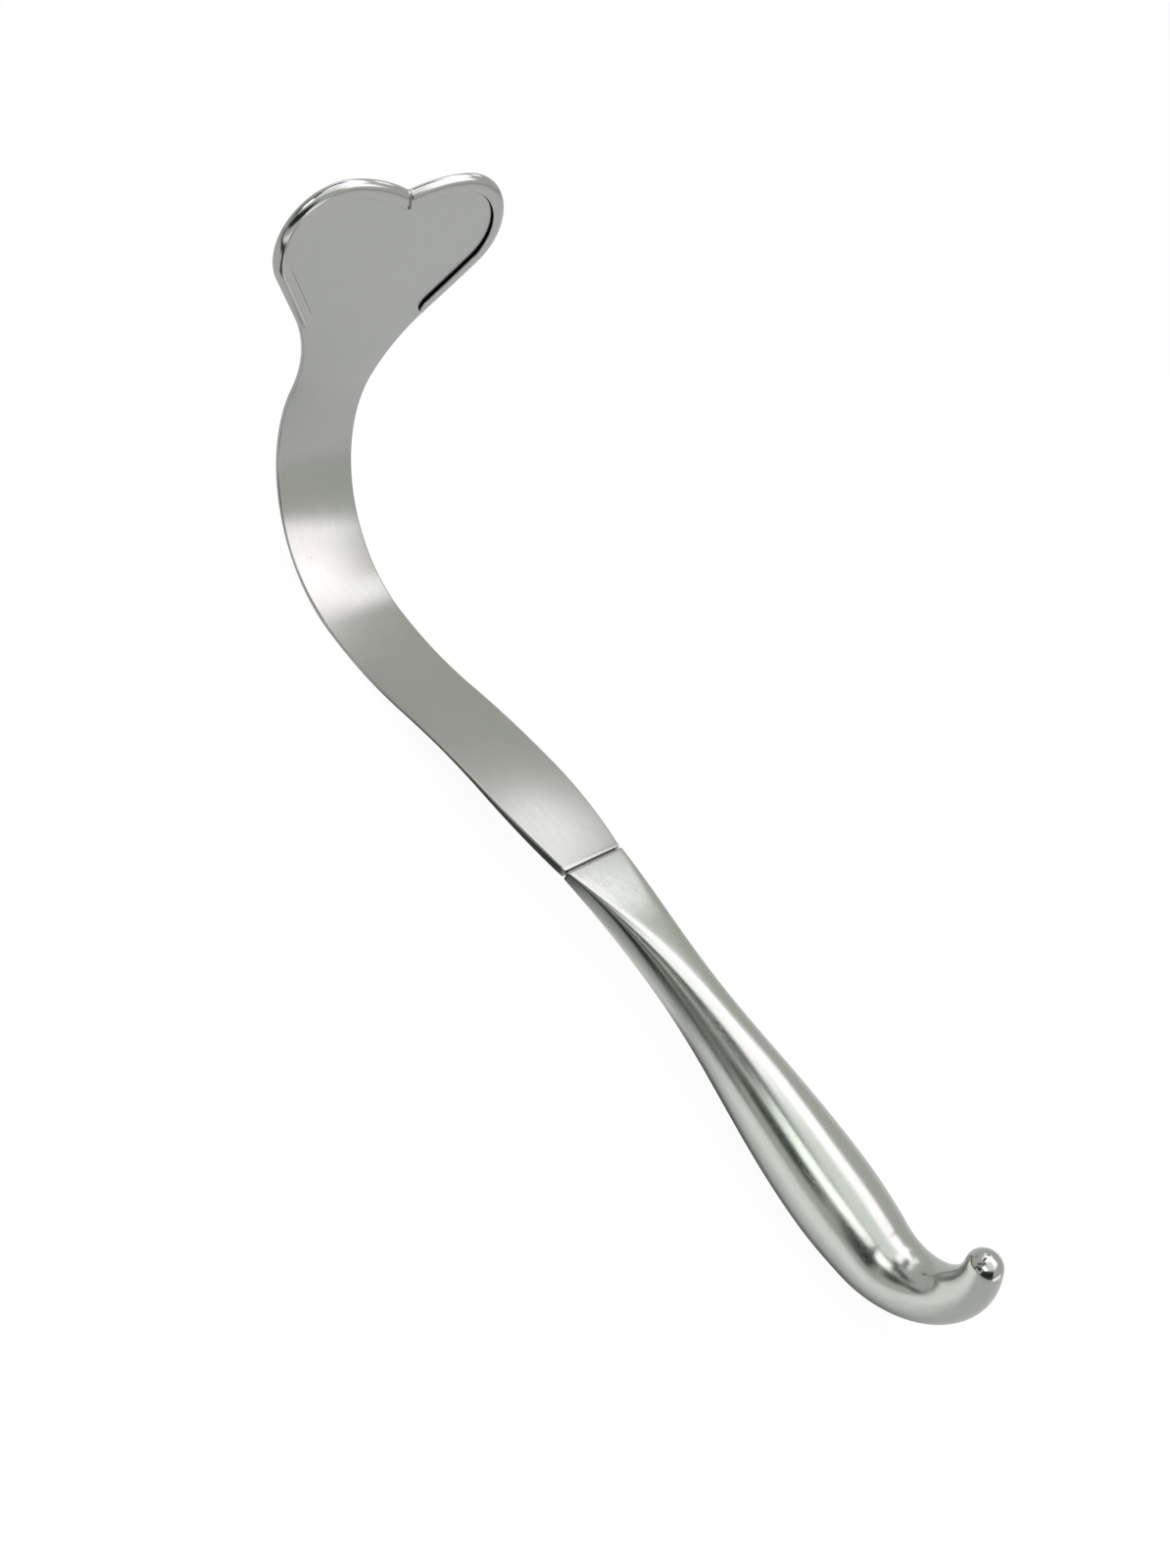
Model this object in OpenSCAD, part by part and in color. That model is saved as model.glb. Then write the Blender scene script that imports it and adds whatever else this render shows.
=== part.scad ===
// Heart-bladed surgical spatula. A strap of stainless sheet is bent up into a heart-shaped
// plate with a folded rim, and its tang is set into the mouth of a hollow hooked grip.
// The object lies on its back: the strap's bend and the grip's swell touch the surface.

/* [Strap] */
// Width of the strap along its parallel part
strap_w = 28; // [24:0.5:32]
// Thickness of the sheet in the bend and the plate
sheet_t = 1.6; // [1.2:0.1:2]
// Width of the strap where it meets the grip
joint_w = 22; // [18:0.5:24]
// Thickness of the strap where it meets the grip
joint_t = 3.2; // [2.8:0.1:4]
// Length over which the strap narrows towards the grip
narrow_len = 35; // [20:1:60]
// Length over which the strap thins away from the grip
thin_len = 60; // [30:1:90]
// Radius on the long edges of the strap
edge_r = 0.5; // [0.3:0.05:0.55]
// Drop of the strap's slightly crowned inner face from its middle to its edges
crown_drop = 0.35; // [0:0.05:0.45]

/* [Side view] */
// Length of the shallow arch in front of the grip
arch_len = 76; // [60:1:90]
// Radius of the shallow arch
arch_r = 350; // [250:5:500]
// Length of the easing curve that leads into the bend
ease_len = 39; // [25:1:55]
// Radius of the easing curve
ease_r = 143; // [110:1:200]
// Radius of the main bend
bend_r = 47; // [38:0.5:56]
// Angle of the main bend
bend_angle = 100; // [85:1:110]
// Radius of the plate's slight back curve
plate_r = 410; // [300:5:800]

/* [Heart plate] */
// Width of the heart-shaped plate
heart_w = 76; // [68:0.5:84]
// Distance from the end of the bend to the start of the flare
flare_gap = 0; // [0:0.1:10]
// Radius of the neck where the strap flares out
flare_r = 54; // [35:1:65]
// Angle between the heart's flanks and the strap
flank_angle = 35.5; // [30:0.5:45]
// Radius round the outside of each lobe
lobe_r = 19; // [15:0.5:22]
// Radius over the top of each lobe, down to the cleft
crown_r = 44.5; // [36:0.5:60]

/* [Folded rim] */
// Thickness of the rim over both layers
rim_t = 2.6; // [2.2:0.1:3.2]
// Width of the lip that is folded over on the inside
lip_w = 4.5; // [3.5:0.1:6]
// Distance along the neck from the flare's start to the rim's rounded end
rim_start = 29.5; // [20:0.5:36]
// Width of the slit where the two lips meet in the cleft
slit_w = 0.7; // [0.4:0.1:1.5]

/* [Grip] */
// Width of the groove between strap and grip
groove_w = 0.7; // [0.4:0.1:1.2]
// Length of the first, arched part of the grip
root_len = 27; // [20:1:40]
// Radius of that arch
root_r = 313; // [250:5:500]
// Length of the grip's nearly straight middle part
grip_len = 59; // [45:1:75]
// Radius of the middle part's slight arch
grip_r = 1500; // [800:50:3000]
// Length of the part that lifts again before the hook
lift_len = 43; // [30:1:55]
// Radius of that lift
lift_r = 980; // [600:20:2000]
// Radius of the hook at the end
hook_r = 20.7; // [18:0.1:26]
// Angle of the hook
hook_angle = 118; // [90:1:130]
// Distance from the joint to the neck of the grip
neck_at = 40; // [30:1:50]
// Width of the neck
neck_w = 15.6; // [13:0.2:20]
// Depth of the neck
neck_d = 13.8; // [11:0.2:18]
// Distance from the joint to the fullest part of the grip
swell_at = 112; // [95:1:125]
// Diameter of the fullest part
swell_d = 25; // [21:0.5:28]
// Diameter of the hook's round end
tip_d = 9.6; // [8:0.2:13]
// Wall of the hollow grip
wall = 0.9; // [0.7:0.1:1.2]
// Length of the tang inside the grip
tang_len = 16; // [8:1:24]
// Clearance round the tang
fit = 0.1; // [0.05:0.05:0.2]

/* [Hidden] */
steel = [0.70, 0.71, 0.70];
polished = [0.78, 0.79, 0.78];

// Steps of the curves
arch_steps = 10;
ease_steps = 5;
bend_steps = 28;
neck_steps = 9;
flank_steps = 5;
lobe_steps = 20;
crown_steps = 8;
lip_steps = 5;
tang_steps = 3;
root_steps = 9;
grip_steps = 15;
hook_steps = 20;
dome_steps = 5;
inner_root_steps = 7;
inner_grip_steps = 8;
inner_hook_steps = 10;
// Points round the grip's section
sides = 24;
quarter_n = sides / 4;
side_angle = 360 / sides;
corner_angle = 90 / (quarter_n - 2);

// Side view of the strap from the joint on, each stretch as [length, curvature]
bend_len = bend_r * bend_angle * PI / 180;
strap_path = [[arch_len, -1 / arch_r], [ease_len, 1 / ease_r], [bend_len, 1 / bend_r],
    [heart_w, -1 / plate_r]];
bend_end = arch_len + ease_len + bend_len;

// Side view of the grip from the joint back, each stretch as [length, curvature]
hook_len = hook_r * hook_angle * PI / 180;
hook_at = root_len + grip_len + lift_len;
grip_path = [[root_len, -1 / root_r], [grip_len, -1 / grip_r], [lift_len, 1 / lift_r],
    [hook_len, 1 / hook_r], [tip_d, 0]];
grip_end = hook_at + hook_len;

// Heart outline in the flat: neck arc, straight flank, lobe arc, crown arc
flare_at = bend_end + flare_gap;
flare_len = flare_r * flank_angle * PI / 180;
flank_len = (heart_w / 2 - strap_w / 2 - (flare_r + lobe_r) * (1 - cos(flank_angle)))
    / sin(flank_angle);
lobe_x = heart_w / 2 - lobe_r;
lobe_s = flare_at + (flare_r + lobe_r) * sin(flank_angle) + flank_len * cos(flank_angle);
crown_s = lobe_s + lobe_r - crown_r;

// Rim section: the fold is all but a half round, and the lip stands on the sheet
fold_flat = 0.2;
fold_r = (rim_t - fold_flat) / 2;
lip_t = rim_t - sheet_t;
// Share of the lip's thickness that its edge rounds off, and the slope of that edge
lip_round = 0.4;
lip_edge_r = lip_t * lip_round;
lip_draft = 0.15;
// Distance inside the edge from which every cut is plain plate
plate_inset = lip_w + 2 * lip_draft;
// Widths of the steep steps at the rim's ends and at the slit
rim_ramp = 0.3;
slit_ramp = 0.06;
// How closely the stations crowd towards the rounded start of the lip
lip_crowd = 1.6;
// Clear strip between the rim's inner line and the last centre point below the cleft
cleft_margin = 4;

function deg(a) = a * 180 / PI;
function mix(a, b, f) = a + (b - a) * f;
function steps(a, b, n) = [for (i = [1:n]) mix(a, b, i / n)];

// Moves a point [x, z, angle] along an arc of length l and curvature k
function walk(p, l, k) = k == 0
    ? [p[0] + l * cos(p[2]), p[1] + l * sin(p[2]), p[2]]
    : let (a = p[2] + deg(l * k))
        [p[0] + (sin(a) - sin(p[2])) / k, p[1] + (cos(p[2]) - cos(a)) / k, a];
function along(l, path, p, i = 0) = i == len(path) - 1 || l <= path[i][0]
    ? walk(p, l, path[i][1])
    : along(l - path[i][0], path, walk(p, path[i][0], path[i][1]), i + 1);

// Point of the strap: y across, s along, h above the inner face
function on_strap(y, s, h) = let (p = along(s, strap_path, [0, 0, 0]))
    [p[0] - h * sin(p[2]), y, p[1] + h * cos(p[2])];
// Point of the grip: y across, s back from the joint, h above the centre line
function on_grip(y, s, h) = let (p = along(s, grip_path, [0, -joint_t / 2, 0]))
    [h * sin(p[2]) - p[0], y, p[1] + h * cos(p[2])];

// Smooth curve from y0 to y1 with end slopes m0 and m1 over a length l
function ease(f, y0, y1, m0, m1, l) = let (g = f * f * (3 - 2 * f))
    mix(y0, y1, g) + l * (m0 * f * (1 - f) * (1 - f) - m1 * f * f * (1 - f));

// Slopes of the grip's side and top outline at the joint, at the neck and at the tip
joint_slope = -0.14;
rise_slope = 0.15;
neck_slope = 0.09;
hook_slope = -0.11;
// Smallest corner inside the grip's mouth
inner_corner_r = 0.1;
// Half width and half depth of the grip at a distance s from the joint
function tail(s) = ease((s - swell_at) / (grip_end - swell_at), swell_d / 2, tip_d / 2, 0,
    hook_slope, grip_end - swell_at);
function half_w(s) = s > swell_at ? tail(s)
    : s > neck_at
    ? ease((s - neck_at) / (swell_at - neck_at), neck_w / 2, swell_d / 2, 0, 0, 1)
    : ease(s / neck_at, joint_w / 2, neck_w / 2, joint_slope, 0, neck_at);
function half_d(s) = s > swell_at ? tail(s)
    : s > neck_at
    ? ease((s - neck_at) / (swell_at - neck_at), neck_d / 2, swell_d / 2, neck_slope, 0,
        swell_at - neck_at)
    : ease(s / neck_at, joint_t / 2, neck_d / 2, rise_slope, neck_slope, neck_at);

// Section of the grip, from a rounded rectangle at the joint to an oval at the neck
function corner(k, a, b, r) = k == 0 ? [a, 0]
    : let (t = (k - 1) * corner_angle) [a - r + r * cos(t), b - r + r * sin(t)];
function rectangle(k, a, b, r) = k >= 2 * quarter_n ? -rectangle(k - 2 * quarter_n, a, b, r)
    : k < quarter_n ? corner(k, a, b, r)
    : k == quarter_n ? [0, b]
    : let (c = corner(2 * quarter_n - k, a, b, r)) [-c[0], c[1]];
function section(s, inset) = let (
        a = half_w(s) - inset, b = half_d(s) - inset, r = max(inner_corner_r, edge_r - inset),
        u = min(1, s / neck_at), round_part = u * u * (3 - 2 * u))
    [for (k = [0:sides - 1]) let (t = k * side_angle)
        mix(rectangle(k, a, b, r), [a * cos(t), b * sin(t)], round_part)];
function grip_ring(s, inset) = [for (p = section(s, inset)) on_grip(p[0], s, p[1])];
function dome_ring(t) = [for (k = [0:sides - 1]) let (r = tip_d / 2)
        on_grip(r * cos(t) * cos(side_angle * k), grip_end + r * sin(t),
            r * cos(t) * sin(side_angle * k))];

// Heart outline row: [x, s, angle, centre station, kind], kind 0 plain or 1 on the crown
function inset_point(row, d) = row[4] == 0
    ? [row[0] - d * cos(row[2]), row[1] + d * sin(row[2])]
    : [row[0], crown_s + sqrt(pow(crown_r - d, 2) - pow(lobe_x - row[0], 2))];
function flare_row(u, c) = let (
        a = min(flank_angle, deg(u / flare_r)), f = max(0, u - flare_len))
    [strap_w / 2 + flare_r * (1 - cos(a)) + f * sin(a),
        flare_at + flare_r * sin(a) + f * cos(a), a, c, 0];
function lobe_row(a, c) = [lobe_x + lobe_r * cos(a), lobe_s - lobe_r * sin(a), a, c, 0];

// Section of the sheet at one row, as [inset, height], from the back face to the front:
// back corner, front corner, then the lip's edge
function rim_section(bottom, top, r, lip_d, lip_h) = [
    for (t = [-90, -45, 0]) [r - r * cos(t), bottom + r + r * sin(t)],
    for (t = [0, 45, 90]) [r - r * cos(t), top + lip_h - r + r * sin(t)],
    [lip_d - min(lip_edge_r, lip_d / 4), top + lip_h],
    [lip_d, top + lip_h * (1 - lip_edge_r / lip_t)],
    [lip_d + lip_draft, top],
    [plate_inset, top]];

// One ring of the blade: right half from the back face round the edge to the front, then left
function half_ring(row, sec) = let (inner = sec[len(sec) - 1][0])
    [let (p = [0, row[3]]) [p[0], p[1], sec[0][1]],
    let (p = inset_point(row, inner)) [p[0] / 2, (p[1] + row[3]) / 2, sec[0][1]],
    for (q = sec) let (p = inset_point(row, q[0])) [p[0], p[1], q[1]],
    let (p = inset_point(row, inner)) [p[0] / 2, (p[1] + row[3]) / 2, sec[len(sec) - 1][1]],
    [0, row[3], sec[len(sec) - 1][1]]];
function both(half) = concat(half, [for (i = [len(half) - 2:-1:1])
    [-half[i][0], half[i][1], half[i][2]]]);
function strap_ring(row, sec) = [for (p = both(half_ring(row, sec))) let (back = sec[0][1])
    on_strap(p[0], p[1], mix(back, p[2], 1 - bow(p[0], p[1]) / strap_t(p[1])))];
function tang_ring(s, w, t) = let (sec = rim_section(-t / 2, t / 2, t * lip_round, lip_w, 0))
    [for (p = both(half_ring([w, s, 0, s, 0], sec))) on_grip(p[0], p[1], p[2])];

// Drop of the crowned inner face at a point y across, fading out up the neck
function bow(y, s) = crown_drop * pow(2 * y / strap_w, 2)
    * max(0, 1 - max(0, s - flare_at) / rim_start);
function strap_half(s) = s > narrow_len ? strap_w / 2
    : mix(joint_w / 2, strap_w / 2, 1 - pow(1 - s / narrow_len, 2));
function strap_t(s) = s > thin_len ? sheet_t : ease(s / thin_len, joint_t, sheet_t, 0, 0, 1);
function plain(s) = rim_section(-strap_t(s), 0, edge_r, lip_w, 0);
function rimmed(u) = let (f = min(1, u / lip_w), start_w = fold_r + 2 * lip_edge_r)
    rim_section(-sheet_t, 0, fold_r, mix(start_w, lip_w, sqrt(1 - pow(1 - f, 2))), lip_t);

// Stations along the strap, then round the heart to the cleft
strap_stations = concat([0], steps(0, arch_len, arch_steps),
    steps(arch_len, arch_len + ease_len, ease_steps),
    steps(arch_len + ease_len, bend_end, bend_steps));
centre_top = inset_point([0, 0, 0, 0, 1], plate_inset)[1] - cleft_margin;
neck_stations = steps(0, rim_start - rim_ramp, neck_steps);
rim_stations = [for (i = [0:lip_steps]) rim_start + lip_w * pow(i / lip_steps, lip_crowd)];
flank_stations = steps(rim_start + lip_w, flare_len + flank_len, flank_steps);
lobe_angles = steps(flank_angle, -90, lobe_steps);
crown_stations = steps(lobe_x, slit_w / 2 + slit_ramp, crown_steps);
// Centre stations: level with the outline up the neck, then closing up towards the cleft
fan_from = flare_row(rim_start, 0)[1];
fan_count = len(rim_stations) + flank_steps + lobe_steps + crown_steps + 1;
function fan(i) = mix(fan_from, centre_top, i / fan_count);

// The tang fills the mouth of the grip but for the clearance
function tang_half(s) = half_w(max(s, groove_w)) - wall - fit;
tang_t = joint_t - 2 * wall - 2 * fit;
fan_lobe = len(rim_stations) + flank_steps;
blade_rings = concat(
    [for (i = [tang_steps:-1:0]) let (s = mix(groove_w, tang_len, i / tang_steps))
        tang_ring(s, tang_half(s), tang_t)],
    [tang_ring(0, tang_half(0), tang_t)],
    [for (s = strap_stations) strap_ring([strap_half(s), s, 0, s, 0], plain(s))],
    flare_gap > 0 ? [strap_ring([strap_w / 2, flare_at, 0, flare_at, 0], plain(flare_at))] : [],
    [for (u = neck_stations) let (row = flare_row(u, flare_row(u, 0)[1]))
        strap_ring(row, plain(row[1]))],
    [for (i = [0:len(rim_stations) - 1])
        strap_ring(flare_row(rim_stations[i], fan(i)), rimmed(rim_stations[i] - rim_start))],
    [for (i = [0:flank_steps - 1])
        strap_ring(flare_row(flank_stations[i], fan(i + len(rim_stations))), rimmed(lip_w))],
    [for (i = [0:lobe_steps - 1])
        strap_ring(lobe_row(lobe_angles[i], fan(i + fan_lobe)), rimmed(lip_w))],
    [for (i = [0:crown_steps - 1])
        strap_ring([crown_stations[i], 0, 0, fan(i + fan_lobe + lobe_steps), 1], rimmed(lip_w))],
    [for (x = [slit_w / 2, 0])
        strap_ring([x, 0, 0, x > 0 ? mix(fan(fan_count - 1), centre_top, 0.5) : centre_top, 1],
            plain(bend_end))]);

// Triangles between two rings of n points that start at a and b in the point list
function skin(a, b, n) = [for (k = [0:n - 1]) let (m = (k + 1) % n)
    each [[a + k, b + k, b + m], [a + k, b + m, a + m]]];
function flip(faces) = [for (f = faces) [f[0], f[2], f[1]]];
function fan_cap(a, n, tip) = [for (k = [0:n - 1]) [tip, a + k, a + (k + 1) % n]];

// Both halves of the last blade ring lie on the centre plane and share their points
blade_n = len(blade_rings[0]);
last_ring = (len(blade_rings) - 1) * blade_n;
function share(i) = i - last_ring > blade_n / 2 ? 2 * last_ring + blade_n - i : i;
blade_points = [for (r = blade_rings) each r];
// The tang's end is closed from the ring's right front corner and its left back corner
front_corner = 7;
back_corner = blade_n - 2;
blade_faces = concat(
    [for (k = [back_corner:back_corner + front_corner])
        [front_corner, k % blade_n, (k + 1) % blade_n]],
    [for (k = [front_corner:back_corner - 2]) [back_corner, k, k + 1]],
    [for (i = [0:len(blade_rings) - 2], f = skin(i * blade_n, (i + 1) * blade_n, blade_n))
        let (g = [share(f[0]), share(f[1]), share(f[2])])
            if (g[0] != g[1] && g[1] != g[2] && g[2] != g[0]) g]);

outer_stations = concat([groove_w], steps(groove_w, neck_at, root_steps),
    steps(neck_at, hook_at, grip_steps),
    steps(hook_at, grip_end, hook_steps));
inner_stations = concat([groove_w], steps(groove_w, neck_at, inner_root_steps),
    steps(neck_at, hook_at, inner_grip_steps),
    steps(hook_at, grip_end, inner_hook_steps));
dome_angles = [for (i = [1:dome_steps - 1]) 90 * i / dome_steps];
outer_rings = concat([for (s = outer_stations) grip_ring(s, 0)],
    [for (t = dome_angles) dome_ring(t)]);
inner_rings = [for (s = inner_stations) grip_ring(s, wall)];
outer_n = len(outer_rings) * sides;
inner_n = len(inner_rings) * sides;
grip_points = concat([for (r = outer_rings) each r], [for (r = inner_rings) each r],
    [on_grip(0, grip_end + tip_d / 2, 0), on_grip(0, grip_end, 0)]);
grip_faces = concat(
    flip([for (i = [0:len(outer_rings) - 2]) each skin(i * sides, (i + 1) * sides, sides)]),
    fan_cap(outer_n - sides, sides, outer_n + inner_n),
    [for (i = [0:len(inner_rings) - 2])
        each skin(outer_n + i * sides, outer_n + (i + 1) * sides, sides)],
    flip(fan_cap(outer_n + inner_n - sides, sides, outer_n + inner_n + 1)),
    skin(0, outer_n, sides));

// Rest pose: tipped until strap and grip touch the surface together, centred over the origin
function low(points, t) = min([for (p = points) p[2] * cos(t) - p[0] * sin(t)]);
settle_rounds = 14;
settle_limit = 20;
function settle(a, b, n) = let (m = (a + b) / 2)
    n == 0 ? m
    : low(grip_points, m) > low(blade_points, m) ? settle(a, m, n - 1) : settle(m, b, n - 1);
rest_tilt = settle(-settle_limit, settle_limit, settle_rounds);
rest_low = low(blade_points, rest_tilt);
reach = [for (p = concat(blade_points, grip_points))
    p[0] * cos(rest_tilt) + p[2] * sin(rest_tilt)];
module seated() {
    translate([-(min(reach) + max(reach)) / 2, 0, -rest_low]) rotate([0, rest_tilt, 0])
        children();
}

module blade() {
    color(steel) seated() polyhedron(blade_points, blade_faces);
}

module handle() {
    color(polished) seated() polyhedron(grip_points, grip_faces);
}

blade();
handle();
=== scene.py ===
"""A surgical spatula with a heart-shaped plate, dressed over its packed construction.

The blade is made as the real one is: a flat blank is outlined and its rim folded over, and then
the strap is bent up along its side view. The grip is lofted from its mouth to its hook.
"""

import math

import bmesh
import bpy
from bpy.props import FloatProperty, FloatVectorProperty, PointerProperty
from mathutils import Matrix, Vector


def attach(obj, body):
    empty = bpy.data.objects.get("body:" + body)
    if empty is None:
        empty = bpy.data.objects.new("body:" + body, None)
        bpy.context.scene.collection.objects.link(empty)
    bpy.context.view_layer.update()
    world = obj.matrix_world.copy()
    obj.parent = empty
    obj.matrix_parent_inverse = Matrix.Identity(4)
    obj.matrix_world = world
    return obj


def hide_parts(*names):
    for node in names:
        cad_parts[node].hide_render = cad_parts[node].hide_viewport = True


bl_info = {
    "name": "Heart-bladed surgical spatula",
    "version": (1, 0, 0),
    "blender": (4, 5, 0),
    "location": "3D View > Sidebar > Spatula",
    "description": "Builds a stainless spatula with a folded rim and a hollow hooked grip",
    "category": "Add Mesh",
}

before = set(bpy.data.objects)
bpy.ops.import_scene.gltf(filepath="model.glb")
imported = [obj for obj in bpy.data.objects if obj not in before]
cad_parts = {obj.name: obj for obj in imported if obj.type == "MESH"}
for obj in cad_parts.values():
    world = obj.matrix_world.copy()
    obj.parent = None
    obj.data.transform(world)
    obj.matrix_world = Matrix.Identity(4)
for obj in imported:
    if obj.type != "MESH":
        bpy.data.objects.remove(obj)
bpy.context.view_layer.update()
MM = 0.001


def length(name, description, millimetres):
    """A size in the sidebar, given in millimetres."""
    return FloatProperty(
        name=name, description=description, default=millimetres * MM, unit="LENGTH", precision=5
    )


def angle(name, description, degrees):
    """An angle in the sidebar, given in degrees."""
    return FloatProperty(
        name=name, description=description, default=math.radians(degrees), subtype="ANGLE"
    )


def amount(name, description, default, low=0.0, high=10.0):
    """A plain number in the sidebar."""
    return FloatProperty(name=name, description=description, default=default, min=low, max=high)


def colour(name, description, default):
    """A colour in the sidebar."""
    return FloatVectorProperty(
        name=name, description=description, default=default, subtype="COLOR", size=3, min=0, max=1
    )


class StrapSizes(bpy.types.PropertyGroup):
    """Sizes of the strap and its side view."""

    width: length("Width", "Width of the strap along its parallel part", 28)
    sheet: length("Sheet", "Thickness of the sheet in the bend and the plate", 1.6)
    joint_width: length("Joint width", "Width of the strap where it meets the grip", 22)
    joint_thick: length("Joint thickness", "Thickness of the strap where it meets the grip", 3.2)
    narrowing: length("Narrowing", "Length over which the strap narrows to the grip", 35)
    thinning: length("Thinning", "Length over which the strap thins away from the grip", 60)
    edge_radius: length("Edge radius", "Radius on the long edges", 0.5)
    crown_drop: length("Crown drop", "Drop of the crowned inner face from middle to edges", 0.35)
    arch_length: length("Arch length", "Length of the shallow arch in front of the grip", 76)
    arch_radius: length("Arch radius", "Radius of the shallow arch", 350)
    ease_length: length("Easing length", "Length of the easing curve into the bend", 39)
    ease_radius: length("Easing radius", "Radius of the easing curve", 143)
    bend_radius: length("Bend radius", "Radius of the main bend", 47)
    bend_angle: angle("Bend angle", "Angle of the main bend", 100)
    plate_radius: length("Plate radius", "Radius of the plate's slight back curve", 410)
    tang_length: length("Tang length", "Length of the tang inside the grip", 16)
    tang_thick: length("Tang thickness", "Thickness of the tang", 1.2)


class HeartSizes(bpy.types.PropertyGroup):
    """Sizes of the heart-shaped plate and its folded rim."""

    width: length("Width", "Width of the heart-shaped plate", 76)
    neck_radius: length("Neck radius", "Radius where the strap flares out", 54)
    flank_angle: angle("Flank angle", "Angle between the flanks and the strap", 35.5)
    lobe_radius: length("Lobe radius", "Radius round the outside of each lobe", 19)
    crown_radius: length("Crown radius", "Radius over the top of each lobe", 44.5)
    rim_thick: length("Rim thickness", "Thickness of the rim over both layers", 2.6)
    lip_width: length("Lip width", "Width of the lip folded over on the inside", 4.5)
    lip_edge: length("Lip edge", "Radius of the lip's inner edge", 0.34)
    roll: length("Roll", "Distance in from the edge over which the fold is rounded", 3.0)
    back_round: length("Back round", "Radius on the back of the folded edge", 0.6)
    rim_start: length("Rim start", "Way up the neck to the rim's rounded end", 29.5)
    slit: length("Slit", "Slit where the two lips meet in the cleft", 0.7)
    seam_height: length("Seam height", "Height of the open seam under the lip", 0.3)
    seam_depth: length("Seam depth", "Depth of the open seam under the lip", 1.3)


class GripSizes(bpy.types.PropertyGroup):
    """Sizes of the hollow hooked grip."""

    groove: length("Groove", "Width of the groove between strap and grip", 0.7)
    root_length: length("Root length", "Length of the first, arched part", 27)
    root_radius: length("Root radius", "Radius of that arch", 313)
    body_length: length("Body length", "Length of the nearly straight middle part", 59)
    body_radius: length("Body radius", "Radius of the middle part's slight arch", 1500)
    lift_length: length("Lift length", "Length of the part that lifts before the hook", 43)
    lift_radius: length("Lift radius", "Radius of that lift", 980)
    hook_radius: length("Hook radius", "Radius of the hook at the end", 20.7)
    hook_angle: angle("Hook angle", "Angle of the hook", 118)
    neck_at: length("Neck place", "Distance from the joint to the neck", 40)
    neck_width: length("Neck width", "Width of the neck", 15.6)
    neck_depth: length("Neck depth", "Depth of the neck", 13.8)
    round_at: length("Round place", "Distance from the joint to the first round section", 70)
    swell_at: length("Swell place", "Distance from the joint to the fullest part", 112)
    swell: length("Swell", "Diameter of the fullest part", 25)
    tip: length("Tip", "Diameter of the hook's round end", 9.6)
    wall: length("Wall", "Wall of the hollow grip", 0.9)
    mouth_depth: length("Mouth depth", "Depth to which the mouth is open", 22)


class RestPose(bpy.types.PropertyGroup):
    """How the bent strap and the grip lie on the surface."""

    tilt: angle("Tilt", "Tip of the joint line from level", 2.93823)
    shift_x: length("Shift along", "Move along the instrument after the tilt", -2.67005)
    shift_z: length("Shift up", "Move up from the surface after the tilt", 18.7929)


class SteelLooks(bpy.types.PropertyGroup):
    """Colours and finish of the two steel pieces."""

    satin: colour("Satin steel", "Steel of the strap and the plate", (0.435, 0.44, 0.423))
    satin_cool: colour("Cool tint", "Greener clouds in the satin steel", (0.405, 0.425, 0.405))
    satin_warm: colour("Warm tint", "Warmer clouds in the satin steel", (0.455, 0.435, 0.43))
    # Lighter, cooler colour that the steel takes on from the bend up to the top of the plate
    plate: colour("Plate steel", "Cooler steel of the heart plate", (0.475, 0.484, 0.49))
    polished: colour("Polished steel", "Steel of the grip", (0.49, 0.50, 0.485))
    # Painted shade: near-black colour put into the seams under the lip and inside the grip's mouth
    seam: colour("Seam", "Residue in the seams", (0.012, 0.012, 0.012))
    satin_rough: amount("Satin roughness", "Roughness of the strap and plate", 0.24, 0, 1)
    rim_rough: amount("Rim roughness", "Roughness of the folded rim", 0.11, 0, 1)
    grip_rough: amount("Grip roughness", "Roughness of the grip", 0.20, 0, 1)
    tip_rough: amount("Tip roughness", "Roughness of the hook's round end", 0.05, 0, 1)


class StudioSettings(bpy.types.PropertyGroup):
    """Floor, lights and camera."""

    floor: colour("Floor", "Colour of the floor", (0.75, 0.75, 0.75))
    room: colour("Room", "Pale walls that the steel reflects", (0.655, 0.675, 0.62))
    room_light: amount("Room light", "Share of the room's light that reaches the floor", 0.75, 0, 2)
    softbox_power: amount("Softbox power", "Power of the large overhead softbox", 3.6, 0, 50)
    softbox_glow: amount("Softbox glow", "Brightness of the softbox in the steel", 2.15, 0, 10)
    focal_length: FloatProperty(
        name="Focal length",
        description="Lens of the camera",
        default=33.345,
        subtype="DISTANCE_CAMERA",
    )


PROPERTY_GROUPS = {
    "spatula_strap": StrapSizes,
    "spatula_heart": HeartSizes,
    "spatula_grip": GripSizes,
    "spatula_rest": RestPose,
    "spatula_steel": SteelLooks,
    "spatula_studio": StudioSettings,
}


# ---- Curves ----


def blend(a, b, f):
    """Value between a and b."""
    return a + (b - a) * f


def smooth(f):
    """Smooth step from 0 to 1."""
    f = min(1.0, max(0.0, f))
    return f * f * (3 - 2 * f)


def eased(f, start, end, slope_start, slope_end, span):
    """Smooth curve from start to end with given end slopes over a span."""
    return blend(start, end, smooth(f)) + span * (
        slope_start * f * (1 - f) ** 2 - slope_end * f * f * (1 - f)
    )


def steps(a, b, count):
    """Even steps from a, left out, to b."""
    return [blend(a, b, i / count) for i in range(1, count + 1)]


class SideView:
    """A chain of arcs seen from the side, each a length and a curvature."""

    def __init__(self, arcs):
        self.arcs = arcs

    def at(self, s):
        """Point and heading at the distance s along the chain."""
        x = z = heading = 0.0
        for number, (span, curve) in enumerate(self.arcs):
            last = number == len(self.arcs) - 1 or s <= span
            run = s if last else span
            turned = heading + run * curve
            x += (math.sin(turned) - math.sin(heading)) / curve
            z += (math.cos(heading) - math.cos(turned)) / curve
            heading = turned
            if last:
                return x, z, heading
            s -= span
        return x, z, heading


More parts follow.
